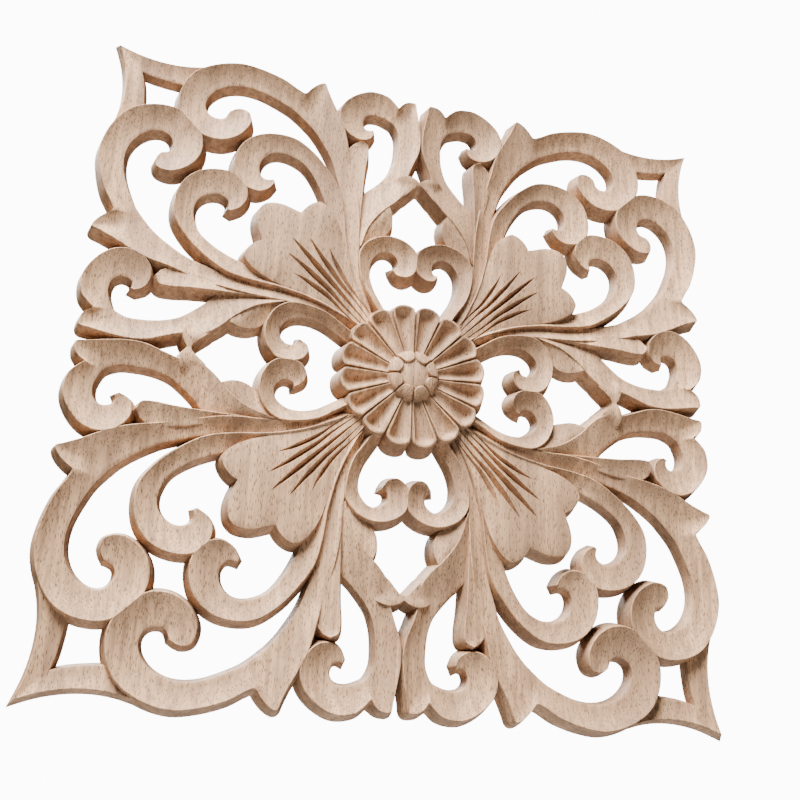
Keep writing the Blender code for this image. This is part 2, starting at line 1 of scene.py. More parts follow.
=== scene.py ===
"""Looks of the carved wooden applique: a finely carved mesh, pale wood, soft light and a camera.

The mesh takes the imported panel's place. It is carved from the same scrolls and leaves: one eighth of the
pattern, drawn lying on its back, is repeated eight times by mirroring and stood upright. Plan places are
shares of half the panel's side.
"""

import json

import bmesh
import bpy
import numpy as np
from mathutils import Matrix, Vector, noise
from mathutils.geometry import delaunay_2d_cdt

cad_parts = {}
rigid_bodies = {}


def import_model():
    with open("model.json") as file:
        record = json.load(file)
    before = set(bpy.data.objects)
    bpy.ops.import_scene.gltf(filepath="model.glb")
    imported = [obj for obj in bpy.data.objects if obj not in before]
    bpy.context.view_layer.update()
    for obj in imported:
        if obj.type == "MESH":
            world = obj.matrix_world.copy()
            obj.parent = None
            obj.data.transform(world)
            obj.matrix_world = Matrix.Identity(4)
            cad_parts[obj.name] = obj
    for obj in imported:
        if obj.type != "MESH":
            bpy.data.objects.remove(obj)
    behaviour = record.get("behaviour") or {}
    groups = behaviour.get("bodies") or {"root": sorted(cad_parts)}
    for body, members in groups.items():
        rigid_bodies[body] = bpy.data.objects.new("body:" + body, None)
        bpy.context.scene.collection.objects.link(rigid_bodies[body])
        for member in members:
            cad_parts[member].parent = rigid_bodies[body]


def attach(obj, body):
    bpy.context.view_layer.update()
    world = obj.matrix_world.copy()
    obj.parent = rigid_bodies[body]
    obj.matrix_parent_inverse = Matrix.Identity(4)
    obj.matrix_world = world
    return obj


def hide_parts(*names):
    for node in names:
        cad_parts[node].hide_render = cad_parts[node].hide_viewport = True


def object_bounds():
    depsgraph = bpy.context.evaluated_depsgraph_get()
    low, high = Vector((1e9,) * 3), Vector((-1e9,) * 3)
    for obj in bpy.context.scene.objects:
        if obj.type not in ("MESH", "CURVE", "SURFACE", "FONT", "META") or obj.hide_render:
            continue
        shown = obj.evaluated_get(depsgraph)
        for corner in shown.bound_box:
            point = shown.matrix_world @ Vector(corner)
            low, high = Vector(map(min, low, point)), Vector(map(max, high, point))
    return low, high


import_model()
cad_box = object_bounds()

# The sizes below are those of a panel this many millimetres wide over the feet of its walls. They follow
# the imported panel's width.
FULL_WIDTH = 305.95
MM = (cad_box[1].x - cad_box[0].x) / FULL_WIDTH

SIDE = 300.0 * MM
HALF = SIDE / 2

# Heights of the scrolls and stems over the back
SCROLL_RIM = 9.6 * MM
INNER_SCROLL_RIM = 8.9 * MM
SCROLL_INNER_EDGE = 6.4 * MM
SCROLL_TIP = 7.4 * MM
SCROLL_TIP_LIP = 0.4 * MM
STEM_FOLD = 6.2 * MM
INNER_STEM_RIM = 9.7 * MM
INNER_STEM_FOLD = 7.8 * MM
OUTER_ROOT_RIM = 6.8 * MM
OUTER_ROOT_EDGE = 8.6 * MM

# Heights of the leaves and of the corner bracket
PALMETTE_TOP = 10.0 * MM
PALMETTE_CROWN = 0.3 * MM
SIDE_LEAF_ROOT = 9.2 * MM
SIDE_LEAF_TIP = 10.4 * MM
SIDE_LEAF_FOLD = 7.6 * MM
SIDE_LEAF_HOLLOW = 8.6 * MM
LEAF_TOP = 10.2 * MM
CORNER_TIP = 6.6 * MM
BRACKET_RIM = 7.0 * MM
BRACKET_INNER_EDGE = 5.3 * MM

# Flower: its heights over the back, the bays and folds between its petals, and the hollow of each petal
PETALS = 16
FLOWER_RADIUS = 34.6 * MM
FLOWER_RIM = 12.0 * MM
FLOWER_INNER_RIM = 10.2 * MM
FLOWER_HOLLOW = 3.4 * MM
PETAL_BAY = 4.2 * MM
PETAL_FOLD = 2.0 * MM
PETAL_RIM_WIDTH = 1.15 * MM
PETAL_MIDDLE = 0.72
RIM_SHARE = PETAL_RIM_WIDTH * PETALS / (np.pi * PETAL_MIDDLE * FLOWER_RADIUS)
HOLLOW_AT_BUD = 0.3
HOLLOW_DEEPEST = 0.8
HOLLOW_END = 0.2
HOLLOW_ROUND = 2.6

# Bud: a dome wrapped in small petals, parted by clefts that reach out from their round tips
BUD_PETALS = 8
BUD_RADIUS = 12.0 * MM
BUD_FOOT = 9.6 * MM
BUD_TOP = 13.1 * MM
BUD_PETAL_RAISE = 0.95 * MM
BUD_TIP_RADIUS = 5.9 * MM
BUD_CLEFT_RADIUS = 8.0 * MM
BUD_FOLD = 1.9 * MM
BUD_FOLD_START = 0.84
BUD_LIP = 0.06
BUD_TIP_ROUND = 2.5

# Grooves of the palmette: full size, then its shares at the root and at the point
GROOVE_WIDTH = 3.6 * MM
GROOVE_DEPTH = 3.6 * MM
GROOVE_ROOT = 0.48
GROOVE_POINT = 0.12
GROOVE_WIDEST = 0.7
GROOVE_TAPER = 0.7
CUTTER_RISE = 0.5 * MM

# Chamfered edges, sloping walls and coves
ARRIS = 0.35 * MM
ARRIS_DROP = 0.28 * MM
INNER_ARRIS_SHARE = 0.6
NARROWEST = 4 * ARRIS
WALL_SLOPE = 0.245
COVE = 1.7
STEM_COVE = 0.95

# Shares of a scroll's length where its root ends, where it has turned over, and where its tip starts
ROOT_END = 0.3
TURN_END = 0.16
TIP_START = 0.86

# How the pieces are joined: past the mirror planes, below the ground, and within which distance
CONTACT_OVERLAP = 0.4 * MM
BELOW = 0.5 * MM
BELOW_STEP = 0.1 * MM
WELD = 0.002 * MM
MITRE_LIMIT = 0.8
FOOT_CLEAR = 0.93
TINY = 1e-9

# Fineness of the carved surface
CURVE_STEPS = 16
SCROLL_STEP = 3.2 * MM
BEND_STEP = 15.0 * MM
COVE_STEPS = 8
EDGE_STEP = 1.6 * MM
SHARP_TURN = np.radians(48)
CREST_ANGLE = np.radians(32)
PETAL_ANGLES = 13

# The points inside a leaf: their step, the spacing of their rows and their distance from the outline as
# shares of it, how strongly the nearest edge rules their height, and how far in the leaf is full
LEAF_STEP = 1.7 * MM
LEAF_ROWS = 0.87
LEAF_MARGIN = 0.5
LEAF_PULL = 3.0
LEAF_CROWN_WIDTH = 9.0 * MM

# Wandering of the hand-made cuts: how far in plan, its waves per metre, the share of the height, and the seed
# that makes it the same each time
WANDER = 0.5 * MM
WANDER_SCALE = 14.0
WANDER_HEIGHT = 0.012
WANDER_SEED = 1

# Rings of the flower: shares of the bud's radius, then shares of the way from the bud to the petal tips
BUD_RINGS = np.concatenate([np.linspace(0.08, 0.44, 4), np.linspace(0.46, 1.0, 16)])
PETAL_RINGS = np.concatenate([np.linspace(0.03, 0.75, 10), np.linspace(0.79, 1.0, 7)])

# Stations of each scroll, from its root to its tip: a point of the high rim, then the point of the low inner
# edge that faces it, as shares of half the side
OUTER_SCROLL = (
    (0.125, 0.170, 0.146, 0.166), (0.166, 0.282, 0.190, 0.290), (0.186, 0.370, 0.217, 0.370),
    (0.191, 0.450, 0.234, 0.450), (0.195, 0.530, 0.243, 0.530), (0.206, 0.600, 0.255, 0.594),
    (0.223, 0.670, 0.274, 0.656), (0.243, 0.750, 0.296, 0.720), (0.262, 0.830, 0.335, 0.786),
    (0.288, 0.890, 0.356, 0.814),
    (0.312, 0.935, 0.372, 0.832), (0.328, 0.972, 0.382, 0.841), (0.339, 0.995, 0.388, 0.846),
    (0.362, 0.985, 0.394, 0.852), (0.384, 0.963, 0.404, 0.860), (0.400, 0.943, 0.416, 0.870),
    (0.424, 0.951, 0.442, 0.888), (0.475, 0.979, 0.510, 0.919), (0.550, 1.001, 0.555, 0.932),
    (0.620, 1.007, 0.598, 0.935), (0.700, 0.983, 0.642, 0.926), (0.762, 0.938, 0.680, 0.903),
    (0.793, 0.870, 0.706, 0.870), (0.792, 0.800, 0.713, 0.838), (0.755, 0.740, 0.704, 0.812),
    (0.700, 0.708, 0.684, 0.798), (0.640, 0.709, 0.661, 0.796), (0.592, 0.740, 0.647, 0.803),
    (0.565, 0.792, 0.641, 0.811), (0.575, 0.834, 0.638, 0.817), (0.600, 0.843, 0.635, 0.823),
    (0.617, 0.838, 0.634, 0.828),
)
INNER_SCROLL = (
    (0.135, 0.165, 0.155, 0.165), (0.205, 0.320, 0.228, 0.320), (0.232, 0.430, 0.262, 0.430),
    (0.243, 0.520, 0.290, 0.512), (0.262, 0.600, 0.318, 0.588), (0.300, 0.662, 0.345, 0.640),
    (0.352, 0.722, 0.378, 0.682), (0.415, 0.764, 0.412, 0.702), (0.480, 0.770, 0.446, 0.711),
    (0.540, 0.752, 0.477, 0.708), (0.584, 0.710, 0.503, 0.692), (0.603, 0.650, 0.520, 0.665),
    (0.598, 0.598, 0.523, 0.636), (0.568, 0.562, 0.513, 0.614), (0.526, 0.551, 0.498, 0.606),
    (0.490, 0.569, 0.484, 0.607), (0.471, 0.598, 0.476, 0.609),
)
EDGE_SCROLL = (
    (0.186, 0.410, 0.198, 0.480), (0.160, 0.492, 0.200, 0.565), (0.120, 0.550, 0.186, 0.612),
    (0.075, 0.595, 0.148, 0.650), (0.045, 0.640, 0.119, 0.683), (0.040, 0.695, 0.096, 0.715),
    (0.024, 0.745, 0.082, 0.752), (0.006, 0.795, 0.075, 0.790), (0.002, 0.850, 0.073, 0.835),
    (0.010, 0.910, 0.074, 0.853), (0.019, 0.955, 0.076, 0.864), (0.025, 0.985, 0.079, 0.872),
    (0.042, 0.987, 0.082, 0.880), (0.059, 0.982, 0.086, 0.888), (0.073, 0.969, 0.091, 0.896),
    (0.082, 0.956, 0.098, 0.904), (0.098, 0.972, 0.112, 0.912), (0.125, 0.993, 0.140, 0.922),
    (0.180, 0.999, 0.162, 0.923), (0.235, 0.973, 0.182, 0.918), (0.273, 0.932, 0.195, 0.906),
    (0.284, 0.885, 0.201, 0.890), (0.268, 0.840, 0.198, 0.873), (0.235, 0.812, 0.191, 0.862),
    (0.200, 0.809, 0.182, 0.858), (0.173, 0.824, 0.173, 0.858), (0.161, 0.848, 0.166, 0.861),
)
HEART_SCROLL = (
    (0.100, 0.170, 0.075, 0.185), (0.140, 0.232, 0.110, 0.240), (0.170, 0.280, 0.134, 0.282),
    (0.186, 0.340, 0.148, 0.330), (0.186, 0.400, 0.144, 0.376), (0.155, 0.442, 0.123, 0.407),
    (0.100, 0.464, 0.098, 0.418), (0.045, 0.456, 0.076, 0.413), (0.005, 0.425, 0.060, 0.398),
    (-0.003, 0.385, 0.056, 0.382), (0.006, 0.347, 0.059, 0.369), (0.034, 0.328, 0.065, 0.362),
    (0.060, 0.334, 0.071, 0.359), (0.073, 0.352, 0.075, 0.358),
)
SIDE_LEAF = (
    (0.191, 0.480, 0.199, 0.484), (0.190, 0.560, 0.216, 0.570), (0.188, 0.640, 0.236, 0.645),
    (0.185, 0.700, 0.246, 0.705), (0.180, 0.752, 0.248, 0.745), (0.184, 0.785, 0.243, 0.768),
    (0.207, 0.798, 0.230, 0.786),
)
CORNER_BRACKET = (
    (0.690, 0.990, 0.700, 0.890), (0.755, 0.972, 0.775, 0.900), (0.815, 0.965, 0.835, 0.905),
    (0.880, 0.968, 0.885, 0.912), (0.945, 0.981, 0.922, 0.922), (1.000, 1.000, 0.950, 0.930),
    (1.060, 1.025, 1.000, 0.950),
)

# Where a scroll's rim dips under a leaf: plan place and reach as shares of half the side, then the drop
SIDE_LEAF_DIP = (0.224, 0.670, 0.110, 2.2 * MM)
MEETING_LEAF_DIP = (0.042, 0.665, 0.070, 0.4 * MM)

# Outlines of the leaves, anticlockwise: plan place as shares of half the side, then share of the top height
PALMETTE = (
    (0.250, 0.180, 0.96), (0.400, 0.300, 1.00), (0.530, 0.450, 1.00), (0.520, 0.478, 1.00),
    (0.507, 0.497, 0.99), (0.492, 0.510, 0.99), (0.470, 0.516, 0.99), (0.445, 0.516, 0.99),
    (0.420, 0.510, 0.99), (0.400, 0.503, 0.99), (0.380, 0.497, 0.99), (0.371, 0.514, 0.99),
    (0.358, 0.529, 0.99), (0.341, 0.541, 0.99), (0.324, 0.546, 0.99), (0.308, 0.540, 0.99),
    (0.290, 0.525, 0.99), (0.272, 0.500, 0.99), (0.256, 0.468, 0.94), (0.243, 0.430, 0.88),
    (0.224, 0.385, 0.87), (0.205, 0.325, 0.87), (0.180, 0.250, 0.88), (0.130, 0.150, 0.90),
    (0.140, 0.110, 0.90),
)
MEETING_LEAF = (
    (-0.040, 0.668, 0.92), (0.006, 0.668, 0.92), (0.026, 0.650, 0.94), (0.052, 0.622, 0.92),
    (0.075, 0.612, 0.78), (0.092, 0.650, 0.63), (0.082, 0.682, 0.73), (0.066, 0.692, 0.90),
    (0.048, 0.697, 0.98), (0.030, 0.696, 1.00), (0.014, 0.690, 0.99), (0.000, 0.680, 0.95),
    (-0.040, 0.700, 0.92),
)
BRACT = (
    (0.185, 0.420, 0.84), (0.190, 0.450, 0.86), (0.160, 0.505, 0.88), (0.130, 0.543, 0.89),
    (0.097, 0.570, 0.96), (0.087, 0.545, 0.90), (0.085, 0.515, 0.80), (0.095, 0.485, 0.71),
    (0.125, 0.455, 0.69),
)
GROOVES = (
    ((0.122, 0.160), (0.185, 0.235), (0.224, 0.280), (0.252, 0.324), (0.272, 0.360), (0.288, 0.399)),
    ((0.132, 0.150), (0.203, 0.233), (0.248, 0.280), (0.280, 0.320), (0.312, 0.360), (0.349, 0.412)),
    ((0.141, 0.141), (0.200, 0.200), (0.250, 0.250), (0.300, 0.300), (0.350, 0.350), (0.400, 0.400)),
)

# Colours of the wood, how strongly its parts are darkened (steep walls: end grain and painted shade), and its
# gloss
WOOD_LIGHT = (0.93, 0.555, 0.305, 1)
WOOD_WARM = (0.50, 0.295, 0.165, 1)
WOOD_DARK = (0.33, 0.19, 0.11, 1)
WOOD_PORE = (0.07, 0.032, 0.016, 1)
# Tint multiplied onto steep walls and groove sides: partly end grain, partly painted shade
END_GRAIN_AND_PAINTED_SHADE = (0.56, 0.54, 0.54, 1)
STREAK_STRENGTH = 0.6
FIBRE_STRENGTH = 0.5
PORE_STRENGTH = 0.9
END_GRAIN_AND_SHADE_STRENGTH = 0.72
WOOD_ROUGHNESS = 0.62
WOOD_SPECULAR = 0.28

# Grain, in waves or cells per metre across, through and up the panel
BANDS = (55, 55, 3.2)
STREAKS = (420, 420, 9)
FIBRES = (900, 900, 45)
PORES = (2100, 2100, 340)
GRAIN_BUMP = 0.35
GRAIN_DEPTH = 0.00012
FIBRE_RELIEF = 0.35

# Where each kind of grain, and the end grain and painted shade of steep walls, starts and is full, on its own
# scale from 0 to 1
BAND_RANGE = (0.3, 0.7)
STREAK_RANGE = (0.40, 0.72)
FIBRE_RANGE = (0.38, 0.75)
PORE_REACH = (0.20, 0.42)
PORE_CHOICE = (0.05, 0.70)
WALL_RANGE = (0.2, 0.85)

# The stage, in metres, and the strength of the surround as a light and as the camera sees it
FLOOR_SIZE = 4.0
FLOOR_DROP = 1.0
FLOOR_COLOUR = (0.85, 0.85, 0.85, 1)
FLOOR_ROUGHNESS = 0.9
SURROUND_COLOUR = (1, 1, 1, 1)
SURROUND_SEEN = 12.0
SURROUND_LIGHT = 0.04

# Lights: name, place and diameter in metres, spread in degrees, power in watts
LIGHTS = (
    ("key_light", (-0.45, -0.50, 1.15), 0.9, 70, 18.5),
    ("low_light", (-0.15, -0.60, -0.75), 0.5, 60, 0.15),
    ("back_light", (-0.5, 1.2, 0.9), 0.9, 70, 9.0),
)
FLOOR_LIGHT = ("floor_light", (0, 0, -0.4), 2.4, 150, 12.0)

# Where the photograph was taken from, in metres from the middle of the panel's back
CAMERA_PLACE = (-0.1082, -0.4165, -0.1609)
CAMERA_AHEAD = (0.2305, 0.9142, 0.3334)
CAMERA_UP = (-0.1229, -0.3125, 0.9419)
CAMERA_LENS = 44.14
CAMERA_SENSOR = 36.0
CAMERA_NEAR = 0.01


def smooth_rows(rows, step):
    """Rows of numbers, whose first two or four are plan places, read off a smooth curve at an even step."""
    rows = np.asarray(rows, float)
    places = rows[:, : 2 if rows.shape[1] < 4 else 4] * HALF
    knots = np.concatenate([[0.0], np.cumsum(np.sqrt(np.linalg.norm(np.diff(places, axis=0), axis=1)))])
    spans = np.diff(knots)[:, None]
    chords = np.diff(rows, axis=0) / spans
    middle = (chords[:-1] * spans[1:] + chords[1:] * spans[:-1]) / (spans[1:] + spans[:-1])
    slopes = np.vstack([chords[:1], middle, chords[-1:]])
    fine = []
    for k, span in enumerate(spans[:, 0]):
        t = np.linspace(0, 1, CURVE_STEPS, endpoint=False)[:, None]
        fine.append(rows[k] * (1 + 2 * t) * (1 - t) ** 2 + rows[k + 1] * t * t * (3 - 2 * t)
                    + span * (slopes[k] * t * (1 - t) ** 2 - slopes[k + 1] * t * t * (1 - t)))
    fine = np.vstack(fine + [rows[-1:]])
    moves = np.diff(fine[:, : places.shape[1]] * HALF, axis=0).reshape(len(fine) - 1, -1, 2)
    lengths = np.linalg.norm(moves, axis=2).mean(axis=1)
    way = np.unwrap(np.arctan2(moves[:, 0, 1], moves[:, 0, 0]))
    turns = np.abs(np.gradient(way))
    run = np.concatenate([[0.0], np.cumsum(lengths + BEND_STEP * turns)])
    count = max(int(round(run[-1] / step)), 4) + 1
    even = np.linspace(0, run[-1], count)
    return np.stack([np.interp(even, run, column) for column in fine.T], axis=1), even / run[-1]


def pressed(points):
    """Plan points kept near the mirror planes, past which a scroll runs a little into its mirror image."""
    x = np.maximum(points[:, 0], -CONTACT_OVERLAP)
    y = points[:, 1]
    over = np.maximum(-CONTACT_OVERLAP * np.sqrt(2) - (y - x), 0) / 2
    return np.stack([x - over, y + over], axis=1)


def ease(t):
    """A smooth step from 0 to 1."""
    t = np.clip(t, 0, 1)
    return t * t * (3 - 2 * t)


def wall_foot(loop, reach):
    """The foot of a sloping wall: each point of an anticlockwise loop moved out by its own reach."""
    ahead = np.roll(loop, -1, axis=0) - loop
    ahead /= np.linalg.norm(ahead, axis=1)[:, None]
    behind = np.roll(ahead, 1, axis=0)
    outward = np.stack([ahead[:, 1] + behind[:, 1], -ahead[:, 0] - behind[:, 0]], axis=1)
    outward /= np.maximum(1 + (ahead * behind).sum(axis=1), MITRE_LIMIT)[:, None]
    moved = loop + outward * reach[:, None]
    start, end = loop, np.roll(loop, -1, axis=0)
    side = end - start
    share = ((moved[:, None] - start) * side).sum(axis=2) / (side ** 2).sum(axis=1)
    nearest = start + np.clip(share, 0, 1)[..., None] * side
    distance = np.linalg.norm(moved[:, None] - nearest, axis=2).min(axis=1)
    good = np.flatnonzero(distance > reach * FOOT_CLEAR)
    for k in np.flatnonzero(distance <= reach * FOOT_CLEAR):
        before = good[np.searchsorted(good, k) - 1]
        after = good[np.searchsorted(good, k) % len(good)]
        pair = moved[[before, after]]
        moved[k] = pair[np.linalg.norm(pair - moved[k], axis=1).argmin()]
    return moved


def radial_foot(loop, reach):
    """The foot of the flower's walls, which slope straight out from its centre."""
    radius = np.linalg.norm(loop, axis=1)
    return loop * ((radius + reach) / radius)[:, None]


def carved_solid(name, points, faces, loop, depth, collection, outward=wall_foot):
    """A closed solid from its carved top: walls slope out and down from the loop to a flat underside."""
    points = np.asarray(points, float)
    edge = points[loop]
    plan = edge[:, :2]
    turn = np.roll(plan, -1, axis=0)
    if (plan[:, 0] * turn[:, 1] - plan[:, 1] * turn[:, 0]).sum() < 0:
        loop = loop[::-1]
        edge = points[loop]
    foot = outward(edge[:, :2], (edge[:, 2] + depth) * WALL_SLOPE)
    mesh = bmesh.new()
    top = [mesh.verts.new(p) for p in points]
    base = []
    for k, place in enumerate(foot):
        same = k and np.allclose(place, foot[k - 1], atol=TINY)
        base.append(base[-1] if same else mesh.verts.new((place[0], place[1], -depth)))
    if np.allclose(foot[0], foot[-1], atol=TINY):
        base[-1] = base[0]
    for face in faces:
        mesh.faces.new([top[k] for k in face])
    for k in range(len(loop)):
        after = (k + 1) % len(loop)
        ring = [top[loop[k]], base[k], base[after], top[loop[after]]]
        mesh.faces.new(list(dict.fromkeys(ring)))
    mesh.faces.new(list(dict.fromkeys(reversed(base))))
    loose = [v for v in mesh.verts if not v.link_faces]
    bmesh.ops.delete(mesh, geom=loose, context="VERTS")
    bmesh.ops.recalc_face_normals(mesh, faces=mesh.faces)
    return add_mesh(name, mesh, collection)


def add_mesh(name, mesh, collection):
    """An object of this mesh in the collection."""
    data = bpy.data.meshes.new(name)
    mesh.to_mesh(data)
    mesh.free()
    piece = bpy.data.objects.new(name, data)
    collection.objects.link(piece)
    return piece


def ribbon(name, rows, heights, depth, collection, press=True):
    """A scroll lofted between its rim and its inner edge, with a narrow arris along both."""
    rows, share = smooth_rows(rows, SCROLL_STEP)
    rim = rows[:, 0:2] * HALF
    inner = rows[:, 2:4] * HALF
    if press:
        rim = pressed(rim)
    rim_height, inner_height, cove = heights(share, rim)
    points = []
    for k in range(len(rows)):
        width = max(np.linalg.norm(inner[k] - rim[k]), NARROWEST)
        edge = ARRIS / width
        across = np.concatenate([[0.0], np.linspace(edge, 1 - edge, COVE_STEPS + 1), [1.0]])
        run = np.clip((across - edge) / (1 - 2 * edge), 0, 1)
        fall = inner_height[k] + (rim_height[k] - inner_height[k]) * (1 - run) ** cove[k]
        fall[0] -= ARRIS_DROP
        fall[-1] -= ARRIS_DROP * INNER_ARRIS_SHARE
        for t, height in zip(across, fall):
            points.append((*(rim[k] + (inner[k] - rim[k]) * t), height))
    wide = COVE_STEPS + 3
    faces = []
    for k in range(len(rows) - 1):
        for c in range(wide - 1):
            a = k * wide + c
            faces.append((a, a + 1, a + wide + 1, a + wide))
    last = (len(rows) - 1) * wide
    loop = [k * wide for k in range(len(rows))] + [last + c for c in range(1, wide)]
    loop += [k * wide + wide - 1 for k in reversed(range(len(rows) - 1))]
    loop += list(reversed(range(1, wide - 1)))
    return carved_solid(name, points, faces, loop, depth, collection)


def scroll_heights(rim_top, root_rim, root_edge, root_end, dip=None):
    """Heights of a scroll and its hollow: a rounded stem at the root, then a cove that falls from the rim."""
    def heights(share, rim):
        """Rim height, inner height and roundness of the cove at each station."""
        down = ease((share - TIP_START) / (1 - TIP_START))
        out = ease(share / root_end)
        inner = root_edge + (SCROLL_INNER_EDGE - root_edge) * out
        top = root_rim + (rim_top - root_rim) * out
        top = top + (SCROLL_TIP - top) * down
        if dip:
            away = np.linalg.norm(rim - np.array(dip[:2]) * HALF, axis=1)
            top = top - dip[3] * ease(1 - away / (dip[2] * HALF))
        inner = inner + (SCROLL_TIP - SCROLL_TIP_LIP - inner) * down
        return top, inner, STEM_COVE + (COVE - STEM_COVE) * out
    return heights


def ramp_heights(rim_start, rim_end, inner_start, inner_end):
    """Heights of a short ribbon, whose inner edge stays low at first."""
    def heights(share, rim):
        """Rim height, inner height and roundness of the cove at each station."""
        inner = inner_start + (inner_end - inner_start) * share ** 2
        return rim_start + (rim_end - rim_start) * ease(share), inner, np.full(len(share), COVE)
    return heights


def smooth_outline(rows):
    """A closed outline smoothed between its sharp corners, which stay sharp."""
    rows = np.asarray(rows, float)
    ahead = np.roll(rows, -1, axis=0)[:, :2] - rows[:, :2]
    way = np.arctan2(ahead[:, 1], ahead[:, 0])
    turn = np.abs((way - np.roll(way, 1) + np.pi) % (2 * np.pi) - np.pi)
    corners = np.flatnonzero(turn > SHARP_TURN)
    if len(corners) == 0:
        return smooth_rows(np.vstack([rows, rows[:1]]), EDGE_STEP)[0][:-1]
    rows = np.roll(rows, -corners[0], axis=0)
    rows = np.vstack([rows, rows[:1]])
    stops = list(corners - corners[0]) + [len(rows) - 1]
    runs = []
    for start, end in zip(stops, stops[1:]):
        run = rows[start:end + 1]
        if end - start > 1:
            run = smooth_rows(run, EDGE_STEP)[0]
        else:
            count = max(int(np.linalg.norm(run[1, :2] - run[0, :2]) * HALF / EDGE_STEP), 1)
            run = run[0] + (run[1] - run[0]) * np.linspace(0, 1, count + 1)[:, None]
        runs.append(run[:-1])
    return np.vstack(runs)


def leaf(name, rows, top, depth, collection, crown=0.0):
    """A leaf from its closed outline with a height at each point; between them the nearest edges rule."""
    edge = smooth_outline(rows) * (HALF, HALF, top)
    starts, ends = edge[:, :2], np.roll(edge[:, :2], -1, axis=0)
    low, high = starts.min(axis=0), starts.max(axis=0)
    inside = []
    for row, y in enumerate(np.arange(low[1] + LEAF_STEP / 2, high[1], LEAF_STEP * LEAF_ROWS)):
        for x in np.arange(low[0] + LEAF_STEP / (2 if row % 2 else 1), high[0], LEAF_STEP):
            away = np.linalg.norm(starts - (x, y), axis=1)
            if away.min() > LEAF_STEP * LEAF_MARGIN and within(starts, ends, (x, y)):
                weight = away ** -LEAF_PULL
                lift = crown * ease(away.min() / LEAF_CROWN_WIDTH)
                inside.append((x, y, (weight * edge[:, 2]).sum() / weight.sum() + lift))
    lowered = edge - (0, 0, ARRIS_DROP)
    points = [tuple(p) for p in lowered] + inside
    ring = list(range(len(edge)))
    joined = delaunay_2d_cdt([Vector(p[:2]) for p in points], [], [ring], 1, TINY)
    order = [source[0] for source in joined[3]]
    faces = [[order[k] for k in face] for face in joined[2]]
    return carved_solid(name, points, faces, ring, depth, collection)


def within(starts, ends, place):
    """Whether a plan place lies inside the region that these edges bound."""
    x, y = place
    crosses = (starts[:, 1] > y) != (ends[:, 1] > y)
    rise = np.where(crosses, ends[:, 1] - starts[:, 1], 1.0)
    at = starts[:, 0] + (y - starts[:, 1]) / rise * (ends[:, 0] - starts[:, 0])
    return np.count_nonzero(crosses & (x < at)) % 2 == 1


def groove(name, places, collection):
    """A V cutter along a groove, narrower at its root and drawn out to a point at its end."""
    rows, share = smooth_rows(places, EDGE_STEP)
    line = rows * HALF
    ahead = np.gradient(line, axis=0)
    ahead /= np.linalg.norm(ahead, axis=1)[:, None]
    beside = np.stack([-ahead[:, 1], ahead[:, 0]], axis=1)
    top = PALMETTE_TOP + PALMETTE_CROWN + CUTTER_RISE
    mesh = bmesh.new()
    rings = []
    for k, t in enumerate(share):
        full = GROOVE_ROOT + (1 - GROOVE_ROOT) * ease(t / GROOVE_WIDEST)
        end = min((1 - t) / (1 - GROOVE_WIDEST), 1.0) ** GROOVE_TAPER
        swell = GROOVE_POINT + (full - GROOVE_POINT) * end
        deep = GROOVE_DEPTH * swell
        half = GROOVE_WIDTH / 2 * swell * (deep + CUTTER_RISE) / deep
        left = line[k] + beside[k] * half
        right = line[k] - beside[k] * half
        rings.append([mesh.verts.new((*left, top)), mesh.verts.new((*line[k], top - CUTTER_RISE - deep)),
                      mesh.verts.new((*right, top))])
    for one, two in zip(rings, rings[1:]):
        for c in range(3):
            after = (c + 1) % 3
            mesh.faces.new((one[c], one[after], two[after], two[c]))
    mesh.faces.new(rings[0])
    mesh.faces.new(reversed(rings[-1]))
    bmesh.ops.recalc_face_normals(mesh, faces=mesh.faces)
    return add_mesh(name, mesh, collection)


def flower_outline(across):
    """Radius of the flower at a share of half a petal: round petal ends with bays between them."""
    return FLOWER_RADIUS - PETAL_BAY * (1 - np.sqrt(np.clip(1 - across ** 2, 0, 1)))


def flower_height(radius, across, outline):
    """Height of the petals: a spoon inside a raised rim, with a fold between neighbours."""
    rim = 1 - RIM_SHARE
    fold = ease(2 * (abs(across) - 1) / RIM_SHARE + 1) * PETAL_FOLD
    run = (radius - BUD_RADIUS) / (outline - BUD_RADIUS)
    crest = FLOWER_INNER_RIM + (FLOWER_RIM - FLOWER_INNER_RIM) * ease(run)
    along = HOLLOW_AT_BUD + (1 - HOLLOW_AT_BUD) * ease(run / HOLLOW_DEEPEST)
    hollow = FLOWER_HOLLOW * along * ease((1 - run) / HOLLOW_END)
    return crest - fold - hollow * (1 - min(abs(across) / rim, 1.0) ** HOLLOW_ROUND)


def bud_height(radius, around):
    """Height of the round bud: a dome wrapped in small cushioned petals whose round tips point inward."""
    dome = BUD_FOOT + (BUD_TOP - BUD_FOOT) * np.sqrt(max(1 - (radius / BUD_RADIUS) ** 2, 0.0))
    across = abs((around * BUD_PETALS / (2 * np.pi)) % 1 * 2 - 1)
    tip = BUD_TIP_RADIUS + (BUD_CLEFT_RADIUS - BUD_TIP_RADIUS) * across ** BUD_TIP_ROUND
    raised = ease((radius - tip) / (BUD_LIP * BUD_RADIUS)) * BUD_PETAL_RAISE
    deeper = ease((radius - BUD_TIP_RADIUS) / (BUD_CLEFT_RADIUS - BUD_TIP_RADIUS))
    cleft = ease((across - BUD_FOLD_START) / (1 - BUD_FOLD_START))
    return dome + raised - BUD_FOLD * deeper * cleft


